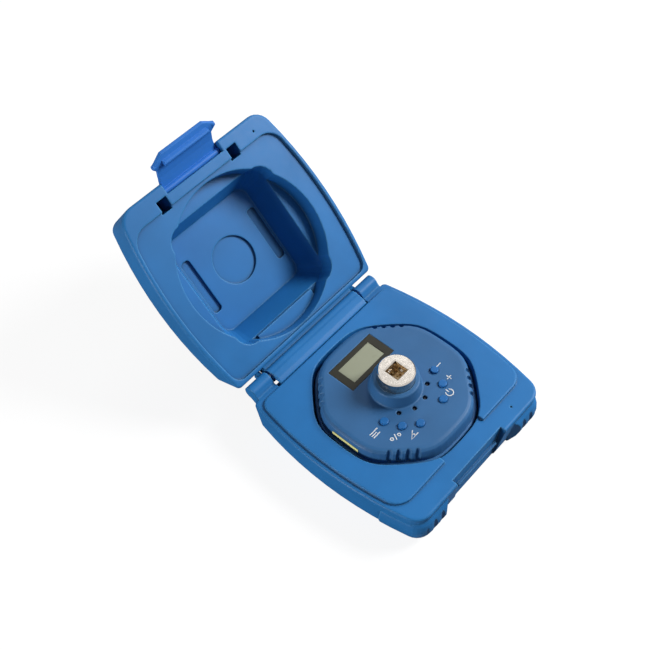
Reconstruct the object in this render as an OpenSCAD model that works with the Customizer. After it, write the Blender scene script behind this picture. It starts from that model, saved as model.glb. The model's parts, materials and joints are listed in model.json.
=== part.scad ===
// Digital torque angle gauge in its moulded carrying case, with the lid standing open.
// Millimetres. X runs along the hinge, Y from the latch side to the hinge, Z up.
// The origin lies on the gauge's axis, on the surface that the case stands on.

/* [Case shell] */
// Half width of the case across its bowed sides
case_half_w = 69; // [66:0.5:80]
// Distance from the gauge axis to the front edge
case_front = 67.7; // [66:0.1:80]
// Distance from the gauge axis to the rear edge of the shells
case_back = 61; // [59:0.5:72]
// Radius of the bowed sides
side_bow_r = 275; // [200:1:600]
// Distance behind the gauge axis at which the sides are widest
side_bow_y = 3; // [0:0.5:6]
// Radius of the shell's front corners in plan
corner_r = 12; // [8:0.5:16]
// Radius of the shell's rear corners in plan
rear_corner_r = 3.5; // [2:0.5:10]
// Height of the base up to its rim
base_h = 28; // [27:0.5:40]
// Height of the lid above its own rim
lid_h = 35; // [35:0.5:48]
// Inset of the base walls at the foot, from their draft
base_draft = 2.6; // [1:0.1:6]
// Inset of the lid walls at the top, from their draft
lid_draft = 4.6; // [1:0.1:6]
// Rounding of the rim edges
rim_round = 1.6; // [0.5:0.1:2.5]
// Rounding of the base's foot edge
foot_round = 4; // [1:0.1:5]
// Rounding of the lid's top edge
lid_round = 6; // [2:0.1:6]
// Gap between the two rims when the case is shut
rim_gap = 0.3; // [0.2:0.05:1]
// Angle by which the lid stands open
lid_open = 135; // [110:1:150]

/* [Panel and pocket] */
// Width of the rim beside the raised panel
panel_side = 3.4; // [3:0.1:6]
// Width of the rim in front of the raised panel
panel_front_rim = 14.6; // [14.4:0.1:20]
// Width of the rim behind the raised panel
panel_back_rim = 3.9; // [3:0.1:6]
// Radius of the panel's rear corners in plan
panel_rear_r = 7; // [3:0.5:12]
// Height of the raised panel above the rim
panel_h = 1.8; // [1:0.1:3]
// Clearance between the panel and the lid's recess
panel_clear = 0.6; // [0.4:0.1:1]
// Height of the pocket's floor, where the gauge sits
seat_z = 14; // [13:0.5:16]
// Gap round the gauge in its pocket
pocket_gap = 1.7; // [1.4:0.1:3]
// Width of the opening in the panel's front edge before the gauge
pocket_front = 38; // [30:1:40]
// Radius of the well for the square plug
well_r = 10; // [8:0.1:14]
// Room under the square plug
well_room = 1; // [0.5:0.1:2]

/* [Lid pocket] */
// Shift of the lid's pocket from the gauge axis towards the hinge
lid_pocket_y = 2.8; // [0:0.1:3]
// Radius of the lid's round pocket at the rim
mouth_r = 54.3; // [53.5:0.1:55]
// Depth of the lid's round pocket below the rim
ledge_depth = 13.4; // [12:0.1:16]
// Half width of the lid's square pocket at the ledge
square_half = 43; // [40:0.5:45]
// Half width of the lid's square pocket at the floor
floor_half = 35; // [34:0.5:39]
// Depth of the lid's square pocket below the rim
floor_depth = 31.4; // [30:0.1:31.8]
// Corner radius of the square pocket at the ledge
ledge_corner_r = 12; // [8:0.5:14]
// Corner radius of the square pocket at the floor
floor_corner_r = 7; // [4:0.5:10]
// Radius of the shallow disc in the lid's floor
disc_r = 15.8; // [10:0.1:20]
// Depth of the shallow disc
disc_depth = 1.6; // [0.4:0.1:2]
// Distance of the long recesses from the middle
slot_x = 30; // [26:0.5:31]
// Width of the long recesses
slot_w = 6.8; // [3:0.1:7]
// Length of the long recesses
slot_len = 39; // [20:1:44]
// Depth of the long recesses
slot_depth = 2; // [0.4:0.1:2.2]

/* [Lid hinge] */
// Radius of the hinge knuckles
knuckle_r = 4.6; // [4:0.1:5]
// Half length of the lid's barrel
barrel_half = 41.5; // [30:0.5:44]
// Gap between the barrel and each knuckle
knuckle_gap = 1.8; // [0.5:0.1:3]
// Length of each base knuckle
knuckle_len = 15.5; // [8:0.5:16]
// Gap between the knuckles and the rear edge of the shells
knuckle_clear = 1.9; // [1.5:0.1:2.6]
// Radius of the hinge pin
hinge_pin_r = 1.5; // [1:0.1:2]
// Width of the heel on each knuckle that stops the open lid
stop_w = 3.5; // [2:0.5:8]
// Running clearance round the hinge pin
pin_clear = 0.05; // [0.02:0.01:0.1]

/* [Latch] */
// Half width of the latch at its pin
latch_half_w = 23.4; // [18:0.1:26]
// Distance of the latch from the middle of the case
latch_x = -1.6; // [-3:0.1:3]
// Thickness of the latch plate
latch_t = 2.2; // [1.6:0.1:2.6]
// Distance from the latch pin down to the hook
latch_len = 19; // [18:0.1:21]
// Length of the finger tab below the hook
tab_drop = 5.5; // [3:0.1:7]
// Half width of the latch at its widest, above the tab
latch_wide = 25.4; // [24:0.1:27]
// Half width of the finger tab at its end
tab_end_half = 15.5; // [8:0.5:18]
// Height of the latch pin above the lid's rim
latch_pin_h = 5.5; // [5:0.1:6]
// Radius of the latch barrel
latch_barrel_r = 2.4; // [2:0.1:2.6]
// Radius of the latch pin
latch_pin_r = 1; // [0.8:0.1:1.2]
// Depth of the base's latch recess behind the front edge
latch_recess = 4; // [3.6:0.1:4.2]
// Depth of the lid's latch recess behind the front edge
lid_recess = 7.2; // [6.8:0.1:7.6]
// Side gap between the latch and the ends of its recess
latch_gap = 0.5; // [0.3:0.1:1]
// Slope of the base's recess ends, from the rim to the foot
recess_slope = 4.5; // [0:0.1:5]
// Length of the latch pin in the lid's wall at each end
pin_seat = 4; // [3:0.1:6]
// Angle by which the latch stands open
latch_open = 34.5; // [20:0.5:80]
// Stand-out of the corner bumpers at the front
bumper_out = 2.4; // [0.5:0.1:3]
// Stand-out of the corner bumpers at the sides
bumper_side = 0.9; // [0.3:0.1:2]

/* [Gauge body] */
// Distance from the axis to the flat sides of the upper housing
body_r = 47.2; // [46:0.1:52]
// Stand-out of the flange round the lower housing
flange_out = 2.4; // [1:0.1:3]
// Height of the lower housing
lower_h = 12; // [11.5:0.1:13]
// Height of the upper housing up to its top face
upper_h = 9.9; // [9.6:0.1:12]
// Rounding of the upper housing's top edge
edge_round = 3.6; // [1:0.1:4]
// Sharpness of the eight-sided outline
oct_power = 14; // [12:1:40]
// Wall thickness of both housings
wall = 2.2; // [1.6:0.1:2.6]
// Radius of the grip notches
notch_r = 1.6; // [0.8:0.1:1.8]
// Depth of the grip notches
notch_depth = 1.1; // [0.4:0.1:1.2]
// Spacing of the grip notches
notch_step = 5.7; // [3:0.1:6]

/* [Boss and shaft] */
// Radius of the boss at its foot
boss_foot_r = 16.2; // [15.5:0.1:16.4]
// Radius of the boss at its top
boss_top_r = 15; // [14:0.1:15.2]
// Height of the boss
boss_h = 9.4; // [6:0.1:14]
// Radius of the steel head
head_r = 11.7; // [10.5:0.1:12]
// Height of the steel head above the boss
head_h = 8.3; // [4:0.1:14]
// Size of the square drive, three-eighths of an inch
drive_sq = 9.525; // [6.35:0.005:12.7]
// Clearance of the square socket
socket_clear = 0.1; // [0.05:0.01:0.2]
// Depth of the square socket
socket_depth = 11.5; // [8:0.1:14]
// Length of the square plug
plug_len = 10; // [7:0.1:10.4]
// Radius of the detent ball
ball_r = 1.7; // [1.2:0.1:2]
// Stand-out of the detent ball
ball_out = 0.8; // [0.4:0.1:1]

/* [Display and keys] */
// Width of the display frame
frame_w = 39.4; // [34:0.1:40]
// Depth of the display frame
frame_d = 20.1; // [16:0.1:20.4]
// Thickness of the display frame
frame_t = 1.2; // [0.8:0.1:1.4]
// Width of the display's view
view_w = 28.8; // [20:0.1:30]
// Depth of the display's view
view_d = 13.5; // [10:0.1:14]
// Distance of the display from the axis
display_y = 27.4; // [27:0.1:28]
// Radius of the push buttons
button_r = 2.65; // [2:0.05:3]
// Stand-out of the push buttons
button_out = 1.4; // [1:0.1:2]
// Travel of the push buttons
button_travel = 0.7; // [0.3:0.1:0.8]
// Radius of the arc that the buttons lie on
key_arc_r = 24.8; // [23:0.1:26]
// Distance of that arc's centre in front of the axis
key_arc_y = 6; // [4:0.1:8]
// Angle of the middle button of each side
key_mid = 37.5; // [34:0.5:40]
// Angle between neighbouring buttons
key_step = 25.8; // [22:0.1:28]
// Radius of the indicator lamps
led_r = 1.45; // [1:0.05:1.6]
// Radius of the arc that the lamps lie on
led_arc_r = 19.5; // [18.5:0.1:20.5]
// Depth of the lamps' shoulders below the top face
led_sink = 2.5; // [1.7:0.1:3]
// Angle between neighbouring lamps
led_step = 30; // [24:1:32]

/* [Hidden] */
$fn = 48;
// Overrun of cuts past the faces that they open
over = 1;
// Fit clearance between pieces of one body
fit = 0.1;

case_blue = [0.24, 0.47, 0.71];
latch_blue = [0.17, 0.38, 0.73];
gauge_blue = [0.25, 0.42, 0.62];
key_blue = [0.16, 0.42, 0.66];
steel = [0.8, 0.78, 0.75];

// Hinge axis of the lid, on the rim plane behind the shells
hinge_y = case_back + knuckle_clear + knuckle_r;
hinge_z = base_h;
lid_rim_z = base_h + rim_gap;
knuckle_x = barrel_half + knuckle_gap;
hinge_pin_half = knuckle_x + knuckle_len - 1;

// Raised panel of the base and its recess in the lid
panel_half_w = case_half_w - panel_side;
panel_front = case_front - panel_front_rim;
panel_back = case_back - panel_back_rim;
recess_depth = panel_h - rim_gap + panel_clear;

// Reach of the barrel's lip, which covers the rim up to the panel, and the room that it turns in
lip_gap = 0.5;
lip_r = hinge_y - panel_back - lip_gap;
lip_room = 0.5;
lip_half = barrel_half - 0.4;
panel_front_open = 4;

// Latch pin axis in the shut case, the channel behind it, and the catch that the hook reaches under
recess_y = -(case_front - latch_recess);
lid_recess_y = -(case_front - lid_recess);
latch_pin_y = lid_recess_y - 1.7;
latch_pin_z = lid_rim_z + latch_pin_h;
channel_y = latch_pin_y + latch_barrel_r + 0.7;
recess_half = latch_half_w + latch_gap;
plate_shift = -(case_front - 0.3 + latch_pin_y);
catch_out = 1.9;
catch_h = 2.2;
hook_in = recess_y - catch_out + 0.7 - latch_pin_y;
hook_h = 2.2;
catch_z = latch_pin_z - latch_len + 0.7;

// Levels of the gauge in its pocket, and the flare of the upper housing at its foot
foot_flare = 0.8;
flange_r = body_r + flange_out;
pocket_r = flange_r + pocket_gap;
split_z = seat_z + lower_h;
top_z = split_z + upper_h;
ceil_z = top_z - wall;
floor_z = seat_z + wall;
boss_z = top_z + boss_h;
head_z = boss_z + head_h;
plug_z = seat_z - plug_len;

// Shaft collar clamped between the two housings
collar_r = head_r + 1.6;
collar_h = 3;
collar_z = split_z - collar_h + 1;
journal_r = 10;
tube_wall = 1.8;
tube_r = collar_r + tube_wall;

// Circuit board and what stands on it
board_t = 1.6;
board_z = ceil_z - 3.2 - board_t;
board_top = board_z + board_t;
board_r = body_r - wall - 2.4;
switch_h = 1.2;
switch_w = 4.4;
pillar_r = 2.4;
pillars = [[-(body_r - 9), 0], [body_r - 9, 0], [-9, -(body_r - 9)], [9, -(body_r - 9)]];
post_r = 3.2;
post_x = body_r - wall - 3.4 * post_r;
post_y = post_x / 2;
posts = [[-post_x, post_y], [post_x, post_y], [-post_x, -post_y], [post_x, -post_y]];
screw_r = 1.3;
screw_head_r = 2.7;
screw_head_h = 1.8;

// Battery bay on the hinge side of the shaft
cell_r = 5.25;
cell_len = 44.5;
cell_gap = 0.3;
cover_t = 1.8;
contact_t = 0.5;
contact_w = 8;
pole_h = 1;
bay_front = tube_r + 0.4;
bay_d = 4 * cell_r + 3 * cell_gap;
bay_half_w = cell_len / 2 + 1.8;
bay_wall = 1.4;
cell_z = seat_z + cover_t + cell_gap + cell_r;
bay_top = cell_z + cell_r + cell_gap;
cell_y = [bay_front + cell_gap + cell_r, bay_front + 2 * cell_gap + 3 * cell_r];
cover_y = bay_front + bay_d / 2;
tab_half = 4;
tab_len = 6;
cover_screw_y = bay_front + bay_d + tab_len / 2;

// Places of the keys, from the rear button to the front one on each side
key_angles = [key_mid - key_step, key_mid, key_mid + key_step];
function key_at(side, i) = [
  side * key_arc_r * cos(key_angles[i]),
  -key_arc_y - key_arc_r * sin(key_angles[i])
];
key_flange_r = button_r + 0.8;
key_flange_t = 0.8;

// Points of an arc from angle a0 to angle a1
function arc_pts(c, r, a0, a1, n) = [
  for (i = [0:n]) let (a = a0 + (a1 - a0) * i / n) c + r * [cos(a), sin(a)]
];
function inner_pts(v) = [for (i = [1:len(v) - 2]) v[i]];
function mirrored(v) = [for (i = [len(v) - 1:-1:0]) [-v[i][0], v[i][1]]];

// Plan of the case at inset d: straight front and rear edges, bowed sides, round corners
function case_plan(half_w, front, back, rear_r, d) =
  let (
    r = side_bow_r - d,
    rf = max(corner_r - d, 1),
    rb = max(rear_r - d, 1),
    cx = half_w - side_bow_r,
    yf = rf - (front - d),
    yb = back - d - rb,
    xf = cx + sqrt(pow(r - rf, 2) - pow(yf - side_bow_y, 2)),
    xb = cx + sqrt(pow(r - rb, 2) - pow(yb - side_bow_y, 2)),
    af = atan2(yf - side_bow_y, xf - cx),
    ab = atan2(yb - side_bow_y, xb - cx),
    right = concat(
      arc_pts([xf, yf], rf, -90, af, 6),
      inner_pts(arc_pts([cx, side_bow_y], r, af, ab, 10)),
      arc_pts([xb, yb], rb, ab, 90, 6)
    )
  )
  concat(right, mirrored(right));

// Plan of the gauge: eight bowed sides that blend round the corners
oct_ones = [for (k = [0:7]) 1];
function oct_plan(r) = [
  for (i = [0:63])
    let (
      a = i * 360 / 64,
      w = [for (k = [0:7]) pow(max(cos(a - 45 * k), 0), oct_power)]
    )
    r / pow(w * oct_ones, 1 / oct_power) * [cos(a), sin(a)]
];

// Plans of a rectangle and a square with round corners
function slot_plan(half_w, half_len, rc) = [
  for (k = [0:3]) let (a = 45 + 90 * k) each arc_pts(
    [(half_w - rc) * sign(cos(a)), (half_len - rc) * sign(sin(a))], rc, a - 45, a + 45, 5)
];
function square_plan(half, rc) = slot_plan(half, half, rc);

// Rounded edges as [z, inset] pairs: an upper edge going in, and a lower edge coming out
function edge_in(z, r, d) = [for (t = [0:30:90]) [z - r * (1 - sin(t)), d + r * (1 - cos(t))]];
function edge_out(z, r, d) = [for (t = [90:-30:0]) [z + r * (1 - sin(t)), d + r * (1 - cos(t))]];

// Solid through a stack of plans, each given as [z, points]
module loft(stack) {
  n = len(stack[0][1]);
  m = len(stack);
  polyhedron(
    points = [for (s = stack) for (p = s[1]) [p[0], p[1], s[0]]],
    faces = concat(
      [[for (i = [0:n - 1]) i]],
      [for (k = [0:m - 2]) for (i = [0:n - 1])
        [k * n + i, (k + 1) * n + i, (k + 1) * n + (i + 1) % n, k * n + (i + 1) % n]],
      [[for (i = [n - 1:-1:0]) (m - 1) * n + i]]
    ),
    convexity = 8
  );
}

module case_loft(edges) {
  loft([for (e = edges) [e[0], case_plan(case_half_w, case_front, case_back, rear_corner_r, e[1])]]);
}

module panel_loft(edges) {
  loft([for (e = edges) [e[0], case_plan(panel_half_w, panel_front, panel_back, panel_rear_r, e[1])]]);
}

module oct_loft(edges) {
  loft([for (e = edges) [e[0], oct_plan(e[1])]]);
}

// Copies on both sides of the middle plane
module both_sides() {
  children();
  mirror([1, 0, 0]) children();
}

// Rod along X, centred on the middle plane
module x_rod(r, half) {
  rotate([0, 90, 0]) cylinder(r = r, h = 2 * half, center = true);
}

// Profile drawn in the YZ plane and extruded along X from x0 by len
module x_prism(x0, len, pts) {
  translate([x0, 0, 0]) rotate([90, 0, 90]) linear_extrude(len) polygon(pts);
}

// Moves the shut lid, and the shut latch on it, to where they stand
module at_lid() {
  translate([0, hinge_y, hinge_z]) rotate([-lid_open, 0, 0]) translate([0, -hinge_y, -hinge_z]) children();
}

module at_latch_pin() {
  translate([latch_x, latch_pin_y, latch_pin_z]) children();
}

// Front corner pads of the base, with upright grooves, clear of the latch recess
module front_bumpers() {
  half_w = case_half_w + bumper_side;
  front = case_front + bumper_out;
  pad_rear = 26;
  pad_x = recess_half + 7;
  pad_edges = [[1, 7], [2.6, 4], [6, 1.4], [10, 0.2], [13, 0], [16, 0.3], [19, 1.2], [22, 3.2]];
  difference() {
    intersection() {
      loft([for (e = pad_edges) [e[0], case_plan(half_w, front, case_back, rear_corner_r, e[1])]]);
      // pads end on a slant at both ends, so that they run out of the wall
      both_sides() linear_extrude(base_h) polygon([
        [pad_x + 8, -front - over],
        [half_w + over, -front - over],
        [half_w + over, -case_front + pad_rear - 3],
        [half_w - 2.2, -case_front + pad_rear],
        [pad_x, -case_front + pad_rear],
        [pad_x, -case_front + 2]
      ]);
    }
    both_sides() for (x = [pad_x + 10, pad_x + 17, pad_x + 24])
      translate([x, -front - 0.7, -over]) cylinder(r = 2, h = base_h);
  }
}

// Gutter behind the base's rear wall, under the lip of the lid's barrel
module lip_gutter() {
  gutter_y = hinge_y - 2.5;
  gutter_t = 2.2;
  root_y = case_back - 6;
  half = knuckle_x + over;
  x_prism(-half, 2 * half, [
    [root_y, hinge_z - lip_r - 8],
    [case_back, hinge_z - lip_r - 5],
    [gutter_y, hinge_z - lip_r - gutter_t],
    [gutter_y, hinge_z - lip_r + 1],
    [case_back, hinge_z - lip_r + 3],
    [root_y, hinge_z - lip_r + 3]
  ]);
}

// One knuckle of the base, with the gusset that blends it into the rim and the heel that stops the lid
module base_knuckle() {
  stop_y = (hinge_y - case_back - 0.3 - 0.5 * sin(lid_open)) / -cos(lid_open);
  root_y = case_back - 6;
  translate([knuckle_x, hinge_y, hinge_z]) rotate([0, 90, 0]) cylinder(r = knuckle_r, h = knuckle_len);
  x_prism(knuckle_x, knuckle_len, [
    [root_y, hinge_z - 3 * knuckle_r],
    [hinge_y, hinge_z - knuckle_r],
    [hinge_y, hinge_z],
    [hinge_y - 0.57 * knuckle_r, hinge_z + 0.82 * knuckle_r],
    [case_back + 0.5, hinge_z - 0.2],
    [root_y, hinge_z - 0.2]
  ]);
  x_prism(knuckle_x, stop_w, [
    [hinge_y, hinge_z - knuckle_r],
    [hinge_y + stop_y, hinge_z - knuckle_r + 1],
    [hinge_y + stop_y, hinge_z + 0.5],
    [hinge_y, hinge_z + 0.5]
  ]);
}

module case_base() {
  color(case_blue) difference() {
    union() {
      case_loft(concat(edge_out(0, foot_round, base_draft), edge_in(base_h, rim_round, 0)));
      panel_loft(concat([[base_h - over, 0]], edge_in(base_h + panel_h, 0.7, 0)));
      front_bumpers();
      both_sides() base_knuckle();
      lip_gutter();
    }
    // cove that the lip of the lid's barrel turns in
    translate([0, hinge_y, hinge_z]) x_rod(lip_r + lip_room, knuckle_x);
    // gauge pocket, open through the panel's front edge, and the well for the square plug
    translate([-pocket_front / 2, -panel_front - over, base_h])
      cube([pocket_front, panel_front_open + over, panel_h + over]);
    oct_loft([
      [seat_z, pocket_r - 1.2],
      [base_h + panel_h + over, pocket_r]
    ]);
    translate([0, 0, plug_z - well_room]) cylinder(r = well_r, h = seat_z);
    // latch recess, leaving the catch that the hook reaches under
    translate([latch_x, 0, 0]) difference() {
      translate([0, recess_y, 0]) rotate([90, 0, 0]) linear_extrude(20) polygon([
        [-recess_half + recess_slope, -over],
        [recess_half - recess_slope, -over],
        [recess_half, base_h],
        [recess_half, base_h + over],
        [-recess_half, base_h + over],
        [-recess_half, base_h]
      ]);
      translate([-recess_half + 5, recess_y - catch_out, catch_z])
        cube([2 * recess_half - 10, catch_out + over, catch_h]);
    }
    // hinge pin bore and the needle hole of the moulding
    translate([0, hinge_y, hinge_z]) x_rod(hinge_pin_r + pin_clear, hinge_pin_half);
    translate([38, -case_front + 7.5, base_h - 3]) cylinder(r = 0.7, h = 4);
  }
}

// Recess of the lid for the latch, with a channel behind its barrel
module latch_recesses() {
  top_h = latch_pin_h + latch_barrel_r + 4;
  channel_z = lid_rim_z + 2;
  translate([latch_x - recess_half, 0, 0]) {
    translate([0, lid_recess_y - 20, lid_rim_z - over]) cube([2 * recess_half, 20, top_h + over]);
    translate([0, lid_recess_y - over, channel_z])
      cube([2 * recess_half, channel_y - lid_recess_y + over, latch_pin_z + latch_barrel_r + 2 - channel_z]);
  }
}

// Long barrel of the lid, its lip that lies up to the panel when the lid is open, and the web to the wall
module lid_barrel() {
  translate([0, hinge_y, hinge_z]) {
    x_rod(knuckle_r, barrel_half);
    rotate([lid_open, 0, 0]) x_prism(-lip_half, 2 * lip_half, [
      [-0.3 * knuckle_r, lip_room],
      [-0.2 * knuckle_r, 0.95 * knuckle_r],
      [-0.34 * lip_r, knuckle_r + 0.1],
      [-0.75 * lip_r, 0.36 * lip_r],
      [-lip_r + 0.2, 0.2 * lip_r],
      [-lip_r, 0.12 * lip_r],
      [-lip_r, lip_room]
    ]);
  }
  web_y = panel_back + panel_clear + 0.4;
  x_prism(-barrel_half, 2 * barrel_half, [
    [web_y, lid_rim_z + 0.6],
    [hinge_y - knuckle_r, lid_rim_z + 0.6],
    [hinge_y, hinge_z],
    [hinge_y + 1.5, hinge_z + knuckle_r - 0.3],
    [web_y, lid_rim_z + 12]
  ]);
}

// Room inside the lid: panel recess, round pocket, square pocket and the shallow floor marks
module lid_pocket() {
  floor_cut_z = lid_rim_z + floor_depth - over;
  panel_loft([[lid_rim_z - over, -panel_clear], [lid_rim_z + recess_depth, -panel_clear]]);
  translate([0, lid_pocket_y, 0]) {
    translate([0, 0, lid_rim_z]) cylinder(r1 = mouth_r, r2 = mouth_r - 1.5, h = ledge_depth);
    loft([
      [lid_rim_z, square_plan(square_half + 0.8, ledge_corner_r)],
      [lid_rim_z + ledge_depth, square_plan(square_half, ledge_corner_r)],
      [lid_rim_z + floor_depth, square_plan(floor_half, floor_corner_r)]
    ]);
    translate([0, 0, floor_cut_z]) cylinder(r = disc_r, h = disc_depth + over);
    both_sides() translate([slot_x, 0, floor_cut_z]) linear_extrude(slot_depth + over)
      polygon(slot_plan(slot_w / 2, slot_len / 2, slot_w / 3));
  }
}

module case_lid() {
  hole_w = 8;
  hole_d = 8.4;
  hole_h = 20;
  pad_left = 27;
  pad_len = 50;
  pad_up = 2.4;
  pad_rear = 3;
  pad_y = lid_pocket_y + square_half + 0.5;
  color(case_blue) at_lid() difference() {
    union() {
      difference() {
        case_loft(concat(
          edge_out(lid_rim_z, rim_round, 0),
          edge_in(lid_rim_z + lid_h, lid_round, lid_draft)
        ));
        lid_pocket();
        latch_recesses();
      }
      lid_barrel();
      // raised pad on the ledge of the hinge side
      translate([-pad_left, pad_y, lid_rim_z + ledge_depth - pad_up])
        cube([pad_len, case_back - pad_rear - pad_y, pad_up + 2 * over]);
    }
    translate([0, hinge_y, hinge_z]) x_rod(hinge_pin_r + pin_clear, barrel_half + over);
    at_latch_pin() x_rod(latch_pin_r + fit / 2, recess_half + pin_seat + 0.2);
    // square holes behind the pin's ends and the needle hole of the moulding
    translate([latch_x, 0, 0]) both_sides()
      translate([recess_half + 1.8, lid_recess_y + 0.1, lid_rim_z - over]) cube([hole_w, hole_d, hole_h + over]);
    translate([47.5, -case_front + 9, lid_rim_z - over]) cylinder(r = 0.7, h = 4);
  }
}

module lid_hinge_pin() {
  color(steel) translate([0, hinge_y, hinge_z]) x_rod(hinge_pin_r, hinge_pin_half - 0.2);
}

// Latch in the shut position: barrel, plate that curves out past the front wall, hook and finger tab
module latch_shut() {
  tip = -latch_len - hook_h;
  end = -latch_len - tab_drop;
  line = [
    [0.1, 0],
    [0.24 * plate_shift, -0.13 * latch_len],
    [0.5 * plate_shift, -0.29 * latch_len],
    [0.75 * plate_shift, -0.48 * latch_len],
    [0.94 * plate_shift, -0.74 * latch_len],
    [plate_shift, -latch_len],
    [plate_shift - 0.6, tip],
    [plate_shift - 2.3, end]
  ];
  last = len(line) - 1;
  waist = latch_half_w - 1.1;
  side = [
    [tab_end_half, end - over],
    [latch_wide, -latch_len - 1],
    [latch_wide, -latch_len + 1],
    [waist, -0.78 * latch_len],
    [waist, -0.4 * latch_len],
    [latch_half_w, 1]
  ];
  difference() {
    union() {
      x_rod(latch_barrel_r, latch_half_w);
      intersection() {
        union() {
          x_prism(-latch_wide, 2 * latch_wide, concat(
            [for (i = [0:last]) [line[i][0] - latch_t, line[i][1]]],
            [for (i = [last:-1:0]) [line[i][0], line[i][1]]]
          ));
          // hook along the lower edge
          x_prism(-recess_half + 5.5, 2 * recess_half - 11, [
            [plate_shift - 1.5, tip],
            [hook_in - 0.8, tip],
            [hook_in, tip + 0.8],
            [hook_in, -latch_len],
            [plate_shift - 1, -latch_len]
          ]);
        }
        // outline of the plate: waisted between the recess ends, wide above the tab
        translate([0, 10, 0]) rotate([90, 0, 0]) linear_extrude(30) polygon(concat(mirrored(side), side));
      }
      // heel that meets the channel's wall when the latch is open
      rotate([latch_open, 0, 0]) x_prism(-latch_half_w + 6, 2 * latch_half_w - 12, [
        [0, 0],
        [0.8 * latch_barrel_r, 0.4 * latch_barrel_r],
        [latch_barrel_r + 0.6, 0.6 * latch_barrel_r],
        [latch_barrel_r + 0.6, latch_barrel_r],
        [0, latch_barrel_r - 0.2]
      ]);
      // knobs at the widest corners of the plate
      both_sides() translate([latch_wide - 1.1, plate_shift - latch_t / 2 - 0.2, -latch_len]) rotate([0, 90, 0])
        cylinder(r = latch_t / 2 + 0.5, h = 2.2, center = true);
    }
    x_rod(latch_pin_r + pin_clear, latch_half_w + over);
  }
}

module latch() {
  color(latch_blue) at_lid() at_latch_pin() rotate([-latch_open, 0, 0]) latch_shut();
}

module latch_pin() {
  color(steel) at_lid() at_latch_pin() x_rod(latch_pin_r, recess_half + pin_seat);
}

// Grip notches over the rounded edge and down the wall of the four diagonal sides
module grip_notches() {
  lean = 18;
  for (q = [45:90:315], k = [-1.5:1:1.5])
    rotate([0, 0, q]) translate([body_r + foot_flare + notch_r - notch_depth, k * notch_step, split_z + 1.2])
      rotate([0, -lean, 0]) cylinder(r = notch_r, h = 3 * upper_h);
}

module screw_posts(z0, z1, r) {
  for (p = posts) translate([p[0], p[1], z0]) cylinder(r = r, h = z1 - z0);
}

module key_bores(r, z0, h) {
  for (side = [-1, 1], i = [0:2]) translate([key_at(side, i)[0], key_at(side, i)[1], z0]) cylinder(r = r, h = h);
}

module led_places() {
  for (k = [-1.5:1:1.5]) rotate([0, 0, -90 + k * led_step]) translate([led_arc_r, 0, 0]) children();
}

module upper_housing() {
  boss_round = 1.2;
  color(gauge_blue) difference() {
    union() {
      difference() {
        oct_loft(concat(
          [[split_z, body_r + foot_flare]],
          [for (e = edge_in(top_z, edge_round, 0)) [e[0], body_r - e[1]]]
        ));
        grip_notches();
        oct_loft([[split_z - over, body_r - wall + foot_flare], [ceil_z, body_r - wall - 1.4]]);
      }
      // boss with a foot fillet and a round shoulder, running down to the shaft's collar
      rotate_extrude() polygon(concat(
        [[0, collar_z + collar_h + fit], [tube_r - tube_wall + 1.2, collar_z + collar_h + fit],
         [tube_r - tube_wall + 1.2, ceil_z], [boss_foot_r + 1, ceil_z], [boss_foot_r + 1, top_z]],
        [for (t = [90:-30:0]) [boss_foot_r + 1 - cos(t), top_z + 1 - sin(t)]],
        [for (t = [0:30:90]) [boss_top_r - boss_round * (1 - cos(t)), boss_z - boss_round * (1 - sin(t))]],
        [[0, boss_z]]
      ));
      screw_posts(split_z + fit, ceil_z + over, post_r);
      for (p = pillars) translate([p[0], p[1], board_top]) cylinder(r = pillar_r, h = ceil_z - board_top + over);
    }
    cylinder(r = head_r + fit, h = boss_z + over);
    // display opening: ledge for the frame, window for the cell
    translate([-frame_w / 2 - fit, display_y - frame_d / 2 - fit, top_z - frame_t])
      cube([frame_w + 2 * fit, frame_d + 2 * fit, frame_t + over]);
    translate([-view_w / 2 - 2, display_y - view_d / 2 - 1.4, ceil_z - over])
      cube([view_w + 4, view_d + 2.8, wall + 2 * over]);
    key_bores(button_r + fit, ceil_z - over, wall + 2 * over);
    led_places() translate([0, 0, ceil_z - over]) cylinder(r = led_r + fit, h = wall + 2 * over);
    screw_posts(split_z - over, split_z + 6, screw_r + 0.05);
    // seat of the side label
    translate([-body_r - 3, -10.2, split_z + 2.4]) cube([3.2, 20.4, 3.2]);
  }
}

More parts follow.
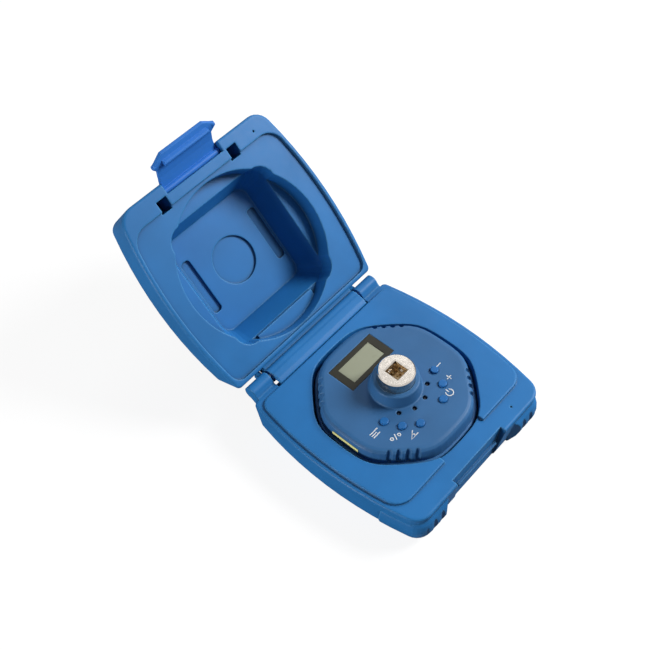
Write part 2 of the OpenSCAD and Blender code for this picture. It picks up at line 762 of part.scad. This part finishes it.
module lower_housing() {
  foot_r = 2.4;
  color(gauge_blue) difference() {
    union() {
      difference() {
        oct_loft(concat(
          [for (e = edge_out(seat_z, foot_r, 0)) [e[0], body_r - e[1]]],
          [[split_z - 3.6, body_r + 0.6], [split_z - 3, flange_r], [split_z - 0.6, flange_r],
           [split_z, flange_r - 0.6]]
        ));
        oct_loft([[floor_z, body_r - wall - 1], [split_z + over, body_r - wall + 0.4]]);
      }
      // bearing tube of the shaft
      translate([0, 0, seat_z + 0.5]) cylinder(r = tube_r, h = collar_z + collar_h - 0.4 - seat_z - 0.5);
      screw_posts(seat_z + 0.5, split_z, post_r);
      for (p = pillars) translate([p[0], p[1], seat_z + 0.5]) cylinder(r = pillar_r, h = board_z - seat_z - 0.5);
      // battery bay walls and roof, kept inside the diagonal walls, and the post of the cover's screw
      intersection() {
        translate([-bay_half_w - bay_wall, bay_front - 1.2, seat_z + 0.5])
          cube([2 * (bay_half_w + bay_wall), bay_d + bay_wall + 1.2, bay_top + bay_wall - seat_z - 0.5]);
        translate([0, 0, seat_z]) linear_extrude(upper_h + lower_h) polygon(oct_plan(body_r - wall - 0.9));
      }
      translate([0, cover_screw_y, seat_z + 0.5]) cylinder(r = 3, h = 10);
    }
    translate([0, 0, seat_z - over]) cylinder(r = journal_r + fit, h = lower_h);
    translate([0, 0, collar_z]) cylinder(r = collar_r + fit, h = collar_h + over);
    // battery bay, the seat of its cover and of the cover's tab
    translate([-bay_half_w, bay_front, seat_z - over]) cube([2 * bay_half_w, bay_d, bay_top - seat_z + over]);
    translate([-tab_half - fit, bay_front + bay_d - over, seat_z - over])
      cube([2 * (tab_half + fit), tab_len + over + fit, cover_t + over]);
    translate([0, cover_screw_y, seat_z]) cylinder(r = screw_r + 0.05, h = 8);
    screw_posts(seat_z - over, split_z + over, screw_r + 0.2);
    screw_posts(seat_z - over, seat_z + screw_head_h + 0.4, screw_head_r + 0.2);
  }
}

module drive_shaft() {
  chamfer = 0.8;
  sock = drive_sq + 2 * socket_clear;
  color(steel) difference() {
    union() {
      rotate_extrude() polygon([
        [0, seat_z], [journal_r - 0.5, seat_z], [journal_r, seat_z + 0.5], [journal_r, collar_z],
        [collar_r, collar_z], [collar_r, collar_z + collar_h], [head_r, collar_z + collar_h],
        [head_r, head_z - chamfer], [head_r - chamfer, head_z], [0, head_z]
      ]);
      translate([-drive_sq / 2, -drive_sq / 2, plug_z]) cube([drive_sq, drive_sq, plug_len + over]);
    }
    translate([-sock / 2, -sock / 2, head_z - socket_depth]) cube([sock, sock, socket_depth + over]);
    // lead-in of the socket and its four detent dimples
    translate([0, 0, head_z - 0.7]) rotate([0, 0, 45])
      cylinder(r1 = sock / sqrt(2), r2 = sock / sqrt(2) + 1.2, h = 0.9, $fn = 4);
    translate([0, 0, head_z - socket_depth / 2]) rotate([90, 0, 0])
      cylinder(r = 2, h = sock + 1.6, center = true);
    translate([0, 0, head_z - socket_depth / 2]) rotate([0, 90, 0])
      cylinder(r = 2, h = sock + 1.6, center = true);
    // blind hole of the detent ball
    translate([-drive_sq / 4, 0, plug_z + plug_len / 2]) rotate([0, 90, 0])
      cylinder(r = ball_r + fit, h = drive_sq);
  }
}

ball_x = drive_sq / 2 + ball_out - ball_r;

module detent_ball() {
  color(steel) translate([ball_x, 0, plug_z + plug_len / 2]) sphere(r = ball_r);
}

module detent_spring() {
  color(steel) translate([-drive_sq / 4, 0, plug_z + plug_len / 2]) rotate([0, 90, 0]) difference() {
    cylinder(r = ball_r - 0.2, h = ball_x - ball_r + drive_sq / 4);
    translate([0, 0, -over]) cylinder(r = ball_r - 0.7, h = drive_sq);
  }
}

module display_frame() {
  color([0.29, 0.26, 0.19]) difference() {
    translate([-frame_w / 2, display_y - frame_d / 2, top_z - frame_t]) cube([frame_w, frame_d, frame_t - 0.1]);
    translate([-view_w / 2, display_y - view_d / 2, top_z - frame_t - over])
      cube([view_w, view_d, frame_t + 2 * over]);
  }
}

// Display cell: a body on the board that steps up into the frame's window
module lcd_panel() {
  color([0.61, 0.61, 0.51]) {
    translate([-view_w / 2 - 1.8, display_y - view_d / 2 - 1.2, board_top])
      cube([view_w + 3.6, view_d + 2.4, top_z - frame_t - board_top]);
    translate([-view_w / 2 + fit, display_y - view_d / 2 + fit, top_z - frame_t - 0.5])
      cube([view_w - 2 * fit, view_d - 2 * fit, frame_t + 0.1]);
  }
}

module circuit_board() {
  color([0.1, 0.35, 0.2]) difference() {
    translate([0, 0, board_z]) linear_extrude(board_t) polygon(oct_plan(board_r));
    translate([0, 0, board_z - over]) cylinder(r = tube_r + 0.6, h = board_t + 2 * over);
    screw_posts(board_z - over, board_top + over, post_r + 0.6);
  }
}

module tact_switches() {
  color([0.15, 0.15, 0.16]) for (side = [-1, 1], i = [0:2])
    translate([key_at(side, i)[0] - switch_w / 2, key_at(side, i)[1] - switch_w / 2, board_top])
      cube([switch_w, switch_w, switch_h]);
}

module indicator_leds() {
  color([0.75, 0.78, 0.8]) led_places() {
    translate([0, 0, board_top]) cylinder(r = led_r, h = top_z - led_sink - board_top);
    translate([0, 0, top_z - led_sink]) sphere(r = led_r - 0.03);
  }
}

module buzzer() {
  color([0.12, 0.12, 0.13]) translate([-27, -4, board_z - 5.5]) cylinder(r = 6, h = 5.5);
}

// Push button with the flange that keeps it under the housing's top
module button(side, i) {
  p = key_at(side, i);
  crown = 0.5;
  base_z = board_top + switch_h + button_travel + 0.1;
  color(key_blue) translate([p[0], p[1], 0]) rotate_extrude() polygon([
    [0, base_z],
    [key_flange_r, base_z],
    [key_flange_r, min(base_z + key_flange_t, ceil_z - 0.1)],
    [button_r, min(base_z + key_flange_t, ceil_z - 0.1)],
    [button_r, top_z + button_out - crown],
    [button_r - 0.2, top_z + button_out - 0.15],
    [button_r - crown, top_z + button_out],
    [0, top_z + button_out]
  ]);
}

module button_back_left() { button(-1, 0); }
module button_mid_left() { button(-1, 1); }
module button_front_left() { button(-1, 2); }
module button_back_right() { button(1, 0); }
module button_mid_right() { button(1, 1); }
module button_front_right() { button(1, 2); }

// Two cells side by side, each with its raised pole
module battery_cells() {
  color([0.2, 0.2, 0.22]) for (k = [0, 1]) translate([0, cell_y[k], cell_z]) mirror([k, 0, 0]) {
    translate([-pole_h / 2, 0, 0]) x_rod(cell_r, (cell_len - pole_h) / 2);
    translate([cell_len / 2 - pole_h, 0, 0]) rotate([0, 90, 0]) cylinder(r = 1.9, h = pole_h);
  }
}

module battery_contacts() {
  color([0.72, 0.7, 0.62]) both_sides() for (y = cell_y)
    translate([bay_half_w - contact_t, y, cell_z]) {
      translate([0, -contact_w / 2, -contact_w / 2]) cube([contact_t, contact_w, contact_w]);
      translate([-1, 0, 0]) rotate([0, 90, 0]) cylinder(r1 = contact_w / 5, r2 = contact_w * 0.38, h = 1.1);
    }
}

module battery_cover() {
  color(gauge_blue) difference() {
    union() {
      translate([-bay_half_w + fit, bay_front + fit, seat_z])
        cube([2 * (bay_half_w - fit), bay_d - 2 * fit, cover_t]);
      translate([-tab_half, bay_front + bay_d - over, seat_z]) cube([2 * tab_half, tab_len + over, cover_t]);
    }
    translate([0, cover_screw_y, seat_z - over]) cylinder(r = screw_r + 0.2, h = cover_t + 2 * over);
    translate([0, cover_screw_y, seat_z - over]) cylinder(r = screw_head_r + 0.2, h = 0.9 + over);
    // finger grooves
    for (k = [-1:1]) translate([-8, cover_y + 3 * k - 0.6, seat_z - over]) cube([16, 1.2, 0.6 + over]);
  }
}

// Screw with its head at the foot and the shank pointing up
module screw(head_h, len) {
  difference() {
    union() {
      cylinder(r = screw_head_r, h = head_h);
      cylinder(r = screw_r, h = len);
    }
    for (a = [0, 90]) rotate([0, 0, a]) translate([-1.6, -0.35, -over]) cube([3.2, 0.7, 0.6 + over]);
  }
}

module battery_cover_screw() {
  color(steel) translate([0, cover_screw_y, seat_z + 0.1]) screw(0.8, 7);
}

module housing_screws() {
  color(steel) for (p = posts) translate([p[0], p[1], seat_z + 0.6]) screw(screw_head_h - 0.2, lower_h + 4.6);
}

module side_label() {
  color([0.73, 0.7, 0.42]) translate([-body_r + 0.2 - 0.5, -10, split_z + 2.6]) cube([0.5, 20, 2.8]);
}

case_base();
case_lid();
lid_hinge_pin();
latch();
latch_pin();
upper_housing();
lower_housing();
drive_shaft();
detent_ball();
detent_spring();
display_frame();
lcd_panel();
circuit_board();
tact_switches();
indicator_leds();
buzzer();
button_back_left();
button_mid_left();
button_front_left();
button_back_right();
button_mid_right();
button_front_right();
battery_cells();
battery_contacts();
battery_cover();
battery_cover_screw();
housing_screws();
side_label();
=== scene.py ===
"""Looks of the torque angle gauge in its open case: camera, studio light, finishes and printed marks."""

import json
import math

import bmesh
import bpy
from mathutils import Matrix, Vector


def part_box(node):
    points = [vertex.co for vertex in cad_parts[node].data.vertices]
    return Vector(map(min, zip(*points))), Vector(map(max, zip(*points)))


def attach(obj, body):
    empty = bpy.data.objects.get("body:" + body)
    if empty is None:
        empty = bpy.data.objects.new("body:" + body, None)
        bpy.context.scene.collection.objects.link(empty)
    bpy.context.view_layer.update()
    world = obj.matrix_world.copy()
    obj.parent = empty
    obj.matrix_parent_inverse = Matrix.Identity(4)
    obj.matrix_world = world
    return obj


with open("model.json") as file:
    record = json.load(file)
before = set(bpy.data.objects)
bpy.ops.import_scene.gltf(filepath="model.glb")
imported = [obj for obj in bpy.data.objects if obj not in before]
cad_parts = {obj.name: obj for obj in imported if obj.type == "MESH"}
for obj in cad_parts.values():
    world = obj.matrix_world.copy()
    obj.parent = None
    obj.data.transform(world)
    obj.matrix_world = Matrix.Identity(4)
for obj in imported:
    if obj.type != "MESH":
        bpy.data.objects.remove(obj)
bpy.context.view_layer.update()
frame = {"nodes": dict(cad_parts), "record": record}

MM = 0.001
WHITE = (1, 1, 1, 1)

# Camera, fitted to the case's corners and the opened lid: angles in degrees, lengths in metres
CAM_AZIMUTH = -47.0
CAM_ELEVATION = 53.7
CAM_ROLL = -2.1
CAM_DISTANCE = 0.687
CAM_TARGET = Vector((0.0109, 0.0673, 0.028))
CAM_NEAR = 0.01
CAM_FOCAL_PX = 1060
IMAGE_PX = 650
SENSOR_MM = 36

# Lamps, all of them round: place, aim and width in metres, power in watts
LAMPS = {
    "key": {"place": (0.88, -0.52, 0.9), "aim": (0, 0.07, 0), "size": 0.6, "watts": 21.5},
    "left": {"place": (-0.9, 0.15, 0.14), "aim": (0, 0.1, 0.05), "size": 0.26, "watts": 5.5},
    "back": {"place": (0.9, 0.5, 0.9), "aim": (0, 0.05, 0), "size": 0.5, "watts": 3.5},
}
AMBIENT = 0.08

# Floor: its half width and drop in metres, and its greys as light and as the camera meet it
FLOOR_HALF = 6
FLOOR_DROP = 0.0002
FLOOR_LIT_GREY = (0.22, 0.22, 0.22, 1)
FLOOR_SEEN_GREY = (0.17, 0.17, 0.17, 1)

# Glow that lifts the floor to a white background, between two distances from the part in metres
GLOW_DISTANCES = (0.5, 1.5)
GLOW_LEVELS = (0.89, 1)

# Levels of the gauge's top face and of the steel head, in millimetres
KEY_PROUD = 1.4
TOP_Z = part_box("button_mid_right")[1][2] / MM - KEY_PROUD
HEAD_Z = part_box("drive_shaft")[1][2] / MM

# Square socket in the head, in millimetres: its dirt sets in between two depths and covers the floor
SOCKET_HALF = 4.95
SOCKET_DEPTH = 11.5
SOCKET_FLOOR_MARGIN = 1
SOCKET_CLEAN_DEPTH = 0.4
SOCKET_DIRTY_DEPTH = 2.2

# Printed marks, in millimetres
MARK_STROKE = 0.65
MARK_THICK = 0.06
MARK_SINK = MARK_THICK / 3
MARK_ENDS_MEET = MARK_STROKE / 10

# Finishes: scales of their noise per metre, depths and reach in millimetres, and rays per point
CLOUD_SCALE = 28
SCUFF_SCALE = 160
SMEAR_SCALE = 420
TURNING_SCALE = (300, 300, 9000)
GRAIN_DEPTH = 0.1
TURNING_DEPTH = 0.02
# Painted shade in creases: how far it looks for the piece's own walls, and its rays per point
CREASE_SHADE_REACH = 6
EDGE_SAMPLES = 6
CREASE_SHADE_SAMPLES = 8

# Finishes: stretches of a noise or mask that a tint or gloss is spread over
CLOUD_RANGE = (0.35, 0.65)
SCUFF_RANGE = (0.35, 0.7)
SMEAR_RANGE = (0.4, 0.65)
GRIME_RANGE = (0.4, 0.6)
GLOSS_RANGE = (0.3, 0.7)
# The painted shade in creases is spread over this stretch of the occlusion
CREASE_SHADE_RANGE = (0.3, 0.9)
EDGE_COSINES = (0.995, 0.85)

# Finishes: shades of a plastic's colour, among them the painted shade in its creases and its edges
# lightened by wear and a painted highlight, how far its gloss varies, and the dirt in the socket
CLOUD_DARK = 0.93
CLOUD_LIGHT = 1.05
# Painted shade in creases keeps this share of the colour
PAINTED_SHADE = 0.2
# Edges lightened by wear and by a painted highlight: the power that lightens the colour there, and the
# least share of that lightening
WORN_AND_HIGHLIT_POWER = 0.6
LEAST_WEAR_AND_HIGHLIGHT = 0.3
PLASTIC_SPECULAR = 0.2
PLASTIC_GLOSS_SPREAD = (0.05, 0.06)
METAL_GLOSS_SPREAD = (0.03, 0.06)
SOCKET_DARK = (0.2, 0.12, 0.05, 1)
SOCKET_LIGHT = (0.95, 0.82, 0.6, 1)
SOCKET_DULLER = 0.2

# Looks of the record's material slots
PLASTICS = {
    # In these looks the crease strength paints shade into a piece's creases, and the edge lift lightens
    # its edges as wear and as a painted highlight
    "case_plastic": {"colour": (0.019, 0.158, 0.42), "edge_wear_and_highlight": 0.9, "edge_mm": 1.4, "crease_shade": 0.95},
    "latch_plastic": {"colour": (0.03, 0.17, 0.56), "rough": 0.4},
    "gauge_plastic": {
        "colour": (0.034, 0.127, 0.295), "grain_mm": 0.25, "edge_wear_and_highlight": 0.5, "edge_mm": 1.2, "crease_shade": 0.3,
    },
    "key_plastic": {"colour": (0.014, 0.13, 0.38), "rough": 0.36},
    "frame_plastic": {"colour": (0.02, 0.019, 0.012), "rough": 0.4},
    "display_glass": {
        "colour": (0.3, 0.315, 0.225), "rough": 0.3, "grain": 0.01, "edge_wear_and_highlight": 0, "coat": 0.3,
    },
    "board_plastic": {"colour": (0.03, 0.2, 0.08)},
    "black_plastic": {"colour": (0.02, 0.02, 0.02)},
    "lamp_plastic": {"colour": (0.05, 0.06, 0.08), "rough": 0.15, "grain": 0.01},
    "cell_metal": {"colour": (0.04, 0.04, 0.05), "rough": 0.3},
    "label_paper": {"colour": (0.93, 0.88, 0.36), "rough": 0.4},
}
METALS = {
    "shaft_chrome": {"colour": (0.6, 0.56, 0.51), "rough": 0.2, "tarnish": 0.1, "socket": True},
    "pin_steel": {"colour": (0.6, 0.6, 0.6)},
    "contact_brass": {"colour": (0.6, 0.55, 0.4)},
}
INK = {"colour": (0.82, 0.84, 0.86), "rough": 0.5, "edge_wear_and_highlight": 0}


def add_to_scene(name, data):
    """A new object with that data, in the scene."""
    piece = bpy.data.objects.new(name, data)
    bpy.context.scene.collection.objects.link(piece)
    return piece


def make_camera():
    """Camera at the photograph's angle, rolled a little about its own axis."""
    azimuth, elevation, roll = (math.radians(a) for a in (CAM_AZIMUTH, CAM_ELEVATION, CAM_ROLL))
    level = math.cos(elevation)
    back = Vector((math.sin(azimuth) * level, -math.cos(azimuth) * level, math.sin(elevation)))
    right = Vector((math.cos(azimuth), math.sin(azimuth), 0))
    up = back.cross(right)
    rolled_right = math.cos(roll) * right + math.sin(roll) * up
    rolled_up = math.cos(roll) * up - math.sin(roll) * right
    data = bpy.data.cameras.new("camera")
    data.sensor_width = SENSOR_MM
    data.lens = CAM_FOCAL_PX / IMAGE_PX * SENSOR_MM
    data.clip_start = CAM_NEAR
    camera = add_to_scene("camera", data)
    turn = Matrix((rolled_right, rolled_up, back)).transposed()
    camera.matrix_world = Matrix.Translation(CAM_TARGET + back * CAM_DISTANCE) @ turn.to_4x4()
    bpy.context.scene.camera = camera


def add_lamp(name, place, aim, size, watts):
    """A round soft light that faces its aim."""
    data = bpy.data.lights.new(name, "AREA")
    data.shape = "DISK"
    data.size = size
    data.energy = watts
    lamp = add_to_scene(name, data)
    lamp.location = place
    lamp.rotation_euler = (Vector(aim) - Vector(place)).to_track_quat("-Z", "Y").to_euler()


class Tree:
    """Short calls to add and join the nodes of one material or world."""

    # The Mix node's own numbers for its two colours and for their result
    MIX_FIRST, MIX_SECOND, MIX_RESULT = 6, 7, 2

    def __init__(self, tree):
        self.nodes = tree.nodes
        self.links = tree.links
        self.nodes.clear()

    def add(self, kind, inputs=None, **settings):
        node = self.nodes.new("ShaderNode" + kind)
        for key, value in settings.items():
            setattr(node, key, value)
        for key, value in (inputs or {}).items():
            self.feed(node.inputs[key], value)
        return node

    def feed(self, socket, value):
        if isinstance(value, bpy.types.NodeSocket):
            self.links.new(value, socket)
        elif isinstance(value, bpy.types.Node):
            self.links.new(value.outputs[0], socket)
        else:
            socket.default_value = value

    def math(self, operation, *values):
        return self.add("Math", dict(enumerate(values)), operation=operation)

    def mix(self, factor, first, second):
        """Two colours mixed by a factor."""
        inputs = {"Factor": factor, self.MIX_FIRST: first, self.MIX_SECOND: second}
        return self.add("Mix", inputs, data_type="RGBA").outputs[self.MIX_RESULT]

    def mix_shaders(self, factor, first, second):
        return self.add("MixShader", {0: factor, 1: first, 2: second})

    def span(self, value, ends, to_ends=(0, 1)):
        """The value mapped from one range to another, and held at its ends."""
        return self.add("MapRange", {0: value, 1: ends[0], 2: ends[1], 3: to_ends[0], 4: to_ends[1]})

    def noise(self, place, scale, detail, roughness=0.5):
        inputs = {"Vector": place, "Scale": scale, "Detail": detail, "Roughness": roughness}
        return self.add("TexNoise", inputs)

    def vector_value(self, operation, *vectors):
        """A number that is worked out from vectors, such as a length."""
        return self.add("VectorMath", dict(enumerate(vectors)), operation=operation).outputs["Value"]

    def object_place(self):
        """The shaded point in the object's own metres, which are the frame's."""
        return self.add("TexCoord").outputs["Object"]


def new_material(name):
    material = bpy.data.materials.new(name)
    material.use_nodes = True
    return material, Tree(material.node_tree)


def make_world():
    """Dim even light, and white where the camera, a mirror or glass looks at the background."""
    world = bpy.data.worlds.new("studio")
    bpy.context.scene.world = world
    world.use_nodes = True
    tree = Tree(world.node_tree)
    path = tree.add("LightPath").outputs
    seen = tree.math("MAXIMUM", path["Is Camera Ray"], path["Is Glossy Ray"])
    seen = tree.math("MAXIMUM", seen, path["Is Transmission Ray"])
    light = tree.add("Background", {"Color": WHITE, "Strength": AMBIENT})
    white = tree.add("Background", {"Color": WHITE, "Strength": 1})
    tree.add("OutputWorld", {"Surface": tree.mix_shaders(seen, light, white)})


def make_floor():
    """Pale floor that keeps the part's shadow and glows to white round it."""
    material, tree = new_material("floor")
    lit = tree.add("BsdfDiffuse", {"Color": FLOOR_LIT_GREY})
    seen = tree.add("BsdfDiffuse", {"Color": FLOOR_SEEN_GREY})
    distance = tree.vector_value("LENGTH", tree.object_place())
    level = tree.span(distance, GLOW_DISTANCES, GLOW_LEVELS)
    glow = tree.add("Emission", {"Color": WHITE, "Strength": level})
    lifted = tree.add("AddShader", {0: seen, 1: glow})
    camera_ray = tree.add("LightPath").outputs["Is Camera Ray"]
    tree.add("OutputMaterial", {"Surface": tree.mix_shaders(camera_ray, lit, lifted)})
    mesh = bpy.data.meshes.new("floor")
    signs = ((-1, -1), (1, -1), (1, 1), (-1, 1))
    corners = [(x * FLOOR_HALF, y * FLOOR_HALF, 0) for x, y in signs]
    mesh.from_pydata(corners, [], [(0, 1, 2, 3)])
    mesh.materials.append(material)
    floor = add_to_scene("floor", mesh)
    floor.location.z = -FLOOR_DROP


def shade(colour, factor):
    return tuple(min(1, c * factor) for c in colour) + (1,)


def round_about(value, spread):
    """The range from a little below the value to a little above it."""
    return value - spread[0], value + spread[1]


def edge_mask(tree, radius):
    """A normal that rounds the edges within the radius, and a mask with 1 on them and 0 on faces."""
    rounded = tree.add("Bevel", {"Radius": radius}, samples=EDGE_SAMPLES).outputs[0]
    flat = tree.add("NewGeometry").outputs["Normal"]
    return rounded, tree.span(tree.vector_value("DOT_PRODUCT", rounded, flat), EDGE_COSINES)


def painted_crease_shade_mask(tree, strength):
    """Painted shade: its strength in the piece's own creases and slots, 0 on its open faces."""
    reach = {"Distance": CREASE_SHADE_REACH * MM}
    occlusion = tree.add("AmbientOcclusion", reach, samples=CREASE_SHADE_SAMPLES, only_local=True)
    return tree.span(occlusion.outputs["AO"], CREASE_SHADE_RANGE, (strength, 0))


def moulded(
    name, colour, rough=0.42, grain=0.05, grain_mm=0.35, edge_wear_and_highlight=0.25, edge_mm=0.5, crease_shade=0, coat=0
):
    """Moulded plastic: fine grain, faint cloudy tint, edges lighter from wear and a painted highlight,
    painted shade in creases, uneven gloss.
    """
    material, tree = new_material(name)
    place = tree.object_place()
    fine = tree.noise(place, 1 / (grain_mm * MM), detail=2, roughness=0.6)
    cloud = tree.noise(place, CLOUD_SCALE, detail=3)
    scuff = tree.noise(place, SCUFF_SCALE, detail=5, roughness=0.7)
    rounded, edge = edge_mask(tree, edge_mm * MM)
    worn_and_highlit = tuple(c ** WORN_AND_HIGHLIT_POWER for c in colour) + (1,)
    tint = tree.mix(tree.span(cloud, CLOUD_RANGE), shade(colour, CLOUD_DARK), shade(colour, CLOUD_LIGHT))
    # Edges are lightened both as wear and as a painted highlight
    wear_and_highlight = tree.span(scuff, SCUFF_RANGE, (LEAST_WEAR_AND_HIGHLIGHT * edge_wear_and_highlight, edge_wear_and_highlight))
    tint = tree.mix(tree.math("MULTIPLY", edge, wear_and_highlight), tint, worn_and_highlit)
    # Painted shade: the piece's creases and slots are darkened towards a dark copy of its colour
    if crease_shade:
        tint = tree.mix(painted_crease_shade_mask(tree, crease_shade), tint, shade(colour, PAINTED_SHADE))
    gloss = tree.span(scuff, GLOSS_RANGE, round_about(rough, PLASTIC_GLOSS_SPREAD))
    relief = {"Strength": grain, "Distance": GRAIN_DEPTH * MM, "Height": fine, "Normal": rounded}
    bump = tree.add("Bump", relief)
    shader = tree.add("BsdfPrincipled", {"Base Color": tint, "Roughness": gloss, "Normal": bump})
    shader.inputs["Specular IOR Level"].default_value = PLASTIC_SPECULAR
    shader.inputs["Coat Weight"].default_value = coat
    tree.add("OutputMaterial", {"Surface": shader})
    return material


def inside_socket(tree, place):
    """1 on the walls and floor of the square socket, 0 on the rest of the shaft."""
    axes = tree.add("SeparateXYZ", {0: place}).outputs
    wide = tree.math("MAXIMUM", tree.math("ABSOLUTE", axes["X"]), tree.math("ABSOLUTE", axes["Y"]))
    near = tree.math("LESS_THAN", wide, SOCKET_HALF * MM)
    fade = ((HEAD_Z - SOCKET_DIRTY_DEPTH) * MM, (HEAD_Z - SOCKET_CLEAN_DEPTH) * MM)
    deep = tree.span(axes["Z"], fade, (1, 0))
    lowest = (HEAD_Z - SOCKET_DEPTH - SOCKET_FLOOR_MARGIN) * MM
    above = tree.math("GREATER_THAN", axes["Z"], lowest)
    return tree.math("MULTIPLY", tree.math("MULTIPLY", near, deep), above)


def metal(name, colour, rough=0.3, turned=0.25, tarnish=0.14, socket=False):
    """Plated or drawn metal: fine turning lines, small smears in its polish and a dirty socket."""
    material, tree = new_material(name)
    place = tree.object_place()
    stretched = tree.add("Mapping", {"Vector": place, "Scale": TURNING_SCALE})
    lines = tree.noise(stretched, 1, detail=3)
    smear = tree.noise(place, SMEAR_SCALE, detail=4, roughness=0.65)
    tint = tree.mix(tree.span(smear, SMEAR_RANGE), shade(colour, 1 - tarnish), shade(colour, 1))
    gloss = tree.span(smear, GLOSS_RANGE, round_about(rough, METAL_GLOSS_SPREAD))
    if socket:
        inside = inside_socket(tree, place)
        grime = tree.mix(tree.span(smear, GRIME_RANGE), SOCKET_DARK, SOCKET_LIGHT)
        tint = tree.mix(inside, tint, grime)
        gloss = tree.math("ADD", gloss, tree.math("MULTIPLY", inside, SOCKET_DULLER))
    bump = tree.add("Bump", {"Strength": turned, "Distance": TURNING_DEPTH * MM, "Height": lines})
    shader = tree.add("BsdfPrincipled", {"Base Color": tint, "Roughness": gloss, "Normal": bump})
    shader.inputs["Metallic"].default_value = 1
    tree.add("OutputMaterial", {"Surface": shader})
    return material


def finish_nodes():
    """Gives each CAD node the finish of its slot in the record."""
    finishes = {slot: moulded(slot, **look) for slot, look in PLASTICS.items()}
    finishes.update({slot: metal(slot, **look) for slot, look in METALS.items()})
    for part in frame["record"]["subparts"]:
        materials = frame["nodes"][part["node"]].data.materials
        materials.clear()
        materials.append(finishes[part["material_slot"]])


def arc(cx, cy, radius, start, end, steps=28):
    """Points of an arc, its angles in degrees."""
    angles = [math.radians(start + (end - start) * k / steps) for k in range(steps + 1)]
    return [(cx + radius * math.cos(a), cy + radius * math.sin(a)) for a in angles]


def add_stroke(bm, points):
    """A thin ribbon on the top face along the points, in millimetres, or a ring if its ends meet."""
    ring = (Vector(points[0]) - Vector(points[-1])).length < MARK_ENDS_MEET
    if ring:
        points = points[:-1]
    last = len(points) - 1
    low, high = TOP_Z - MARK_SINK, TOP_Z - MARK_SINK + MARK_THICK
    rows = []
    for k, point in enumerate(points):
        before = Vector(points[k - 1] if ring else points[max(k - 1, 0)])
        after = Vector(points[(k + 1) % len(points)] if ring else points[min(k + 1, last)])
        side = (after - before).normalized().orthogonal() * MARK_STROKE / 2
        left, right = Vector(point) + side, Vector(point) - side
        corners = ((left, low), (right, low), (right, high), (left, high))
        rows.append([bm.verts.new((p.x * MM, p.y * MM, z * MM)) for p, z in corners])
    for row, following in zip(rows, rows[1:] + rows[:1] if ring else rows[1:]):
        for k in range(len(row)):
            n = (k + 1) % len(row)
            bm.faces.new((row[k], row[n], following[n], following[k]))
    if not ring:
        bm.faces.new(rows[0])
        bm.faces.new(rows[-1])


def add_mark(name, key, right, back, strokes, ink):
    """A white mark printed on the gauge's top face, its middle placed from the middle of its key."""
    low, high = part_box(key)
    x = (low[0] + high[0]) / 2 / MM + right
    y = (low[1] + high[1]) / 2 / MM + back
    bm = bmesh.new()
    for points in strokes:
        add_stroke(bm, [(x + px, y + py) for px, py in points])
    bmesh.ops.recalc_face_normals(bm, faces=bm.faces)
    mesh = bpy.data.meshes.new(name)
    bm.to_mesh(mesh)
    bm.free()
    mesh.materials.append(ink)
    mark = add_to_scene(name, mesh)
    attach(mark, "gauge")


def less_sign():
    half = 2.3
    return [[(-half, 0), (half, 0)]]


def more_sign():
    half = 1.9
    return [[(-half, 0), (half, 0)], [(0, -half), (0, half)]]


def power_sign():
    """A ring that is open at the top, and a short upright line in the opening."""
    radius, ring_start, ring_end = 2.4, 130, 410
    stem_low, stem_high = 0.5, 3.1
    return [arc(0, 0, radius, ring_start, ring_end), [(0, stem_low), (0, stem_high)]]


def list_sign():
    """Three rows of different lengths, each as its height and its right end."""
    left = -3.4
    rows = ((1.5, 3.4), (0, 1), (-1.5, 2.4))
    return [[(left, height), (right, height)] for height, right in rows]


def compare_sign():
    """A slash between two small rings."""
    half_run, half_rise = 1, 1.9
    ring_x, ring_y, ring_radius = 2.6, 0.6, 0.9
    slash = [(-half_run, -half_rise), (half_run, half_rise)]
    left_ring = arc(-ring_x, ring_y, ring_radius, 0, 360)
    right_ring = arc(ring_x, -ring_y, ring_radius, 0, 360)
    return [slash, left_ring, right_ring]


def angle_sign():
    """Two legs from one corner, and an arc between them."""
    half, base = 3.2, -1.6
    arm_tip = (2.2, 2)
    arc_radius, arc_end, arc_steps = 4, 34, 8
    legs = [(half, base), (-half, base), arm_tip]
    return [legs, arc(-half, base, arc_radius, 0, arc_end, arc_steps)]


def print_marks():
    """Generic signs beside the six keys, with each one's place from its key in millimetres."""
    ink = moulded("mark_ink", **INK)
    add_mark("mark_less", "button_back_right", right=4.6, back=0.6, strokes=less_sign(), ink=ink)
    add_mark("mark_more", "button_mid_right", right=6.5, back=0.1, strokes=more_sign(), ink=ink)
    add_mark("mark_power", "button_front_right", right=6.5, back=0.2, strokes=power_sign(), ink=ink)
    add_mark("mark_list", "button_back_left", right=-9.4, back=-1, strokes=list_sign(), ink=ink)
    add_mark("mark_compare", "button_mid_left", right=-8.3, back=-1.6, strokes=compare_sign(), ink=ink)
    add_mark("mark_angle", "button_front_left", right=-8.9, back=-1.3, strokes=angle_sign(), ink=ink)


make_camera()
make_world()
make_floor()
for lamp_name, lamp_look in LAMPS.items():
    add_lamp(lamp_name, **lamp_look)
finish_nodes()
print_marks()

bpy.context.scene.view_settings.view_transform = "Standard"
